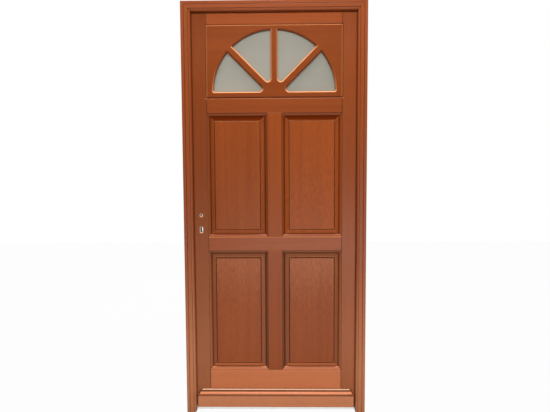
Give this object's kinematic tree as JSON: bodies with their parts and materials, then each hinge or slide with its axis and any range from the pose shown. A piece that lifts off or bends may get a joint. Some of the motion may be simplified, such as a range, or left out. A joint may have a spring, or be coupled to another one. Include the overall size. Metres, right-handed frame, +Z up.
{
  "type": "panelled front door with frame",
  "caption": "Wooden entrance door leaf with raised panels, a fanlight and a drip rail, hung on lift-off hinges in a rebated frame with threshold, latch and dead bolt.",
  "frame": {"origin": "on the floor, in the middle of the frame's width and depth", "axes": "+X to the right seen from the weather side, +Y into the house, +Z up"},
  "size_m": [0.97, 0.099, 2.195],
  "materials": {
    "stained_wood": "red-brown stain under satin varnish",
    "frosted_glass": "frosted",
    "seal_rubber": "matt",
    "zinc_steel": "bright zinc plate",
    "threshold_aluminium": "satin anodised"
  },
  "bodies": {
    "frame": {"left_jamb": "stained_wood", "right_jamb": "stained_wood", "frame_head": "stained_wood", "threshold": "threshold_aluminium", "left_seal": "seal_rubber", "right_seal": "seal_rubber", "head_seal": "seal_rubber", "strike_plate": "zinc_steel", "hinge_pins": "zinc_steel", "hinge_1_frame_half": "zinc_steel", "hinge_2_frame_half": "zinc_steel", "hinge_3_frame_half": "zinc_steel"},
    "door_leaf": {"lock_stile": "stained_wood", "hinge_stile": "stained_wood", "top_rail": "stained_wood", "cross_rail": "stained_wood", "lock_rail": "stained_wood", "bottom_rail": "stained_wood", "upper_muntin": "stained_wood", "lower_muntin": "stained_wood", "upper_left_panel": "stained_wood", "upper_right_panel": "stained_wood", "lower_left_panel": "stained_wood", "lower_right_panel": "stained_wood", "fanlight_board": "stained_wood", "drip_rail": "stained_wood", "fan_bead_1": "stained_wood", "fan_bead_2": "stained_wood", "fan_bead_3": "stained_wood", "fan_bead_4": "stained_wood", "fan_pane_1": "frosted_glass", "fan_pane_2": "frosted_glass", "fan_pane_3": "frosted_glass", "fan_pane_4": "frosted_glass", "foot_seal": "seal_rubber", "lock_case": "zinc_steel", "lock_cover": "zinc_steel", "lock_faceplate": "zinc_steel", "hinge_1_leaf_half": "zinc_steel", "hinge_2_leaf_half": "zinc_steel", "hinge_3_leaf_half": "zinc_steel"},
    "follower": {"follower": "zinc_steel"},
    "latch_bolt": {"latch_bolt": "zinc_steel"},
    "dead_bolt": {"dead_bolt": "zinc_steel"}
  },
  "joints": [
    {"name": "leaf_swing", "type": "hinge", "parent": "frame", "child": "door_leaf", "pos_m": [0.4485, 0.0445, 0], "axis": [0, 0, -1], "range_deg": [0, 110]},
    {"name": "follower_turn", "type": "hinge", "parent": "door_leaf", "child": "follower", "pos_m": [-0.397, 0.0135, 1.082], "axis": [0, 1, 0], "range_deg": [0, 35]},
    {"name": "latch_slide", "type": "slide", "parent": "door_leaf", "child": "latch_bolt", "axis": [1, 0, 0], "range_m": [0, 0.01142]},
    {"name": "bolt_slide", "type": "slide", "parent": "door_leaf", "child": "dead_bolt", "axis": [-1, 0, 0], "range_m": [0, 0.02]}
  ],
  "couplings": [
    {"joint": "follower_turn", "follows": "latch_slide", "rad_per_m": 53.459}
  ]
}
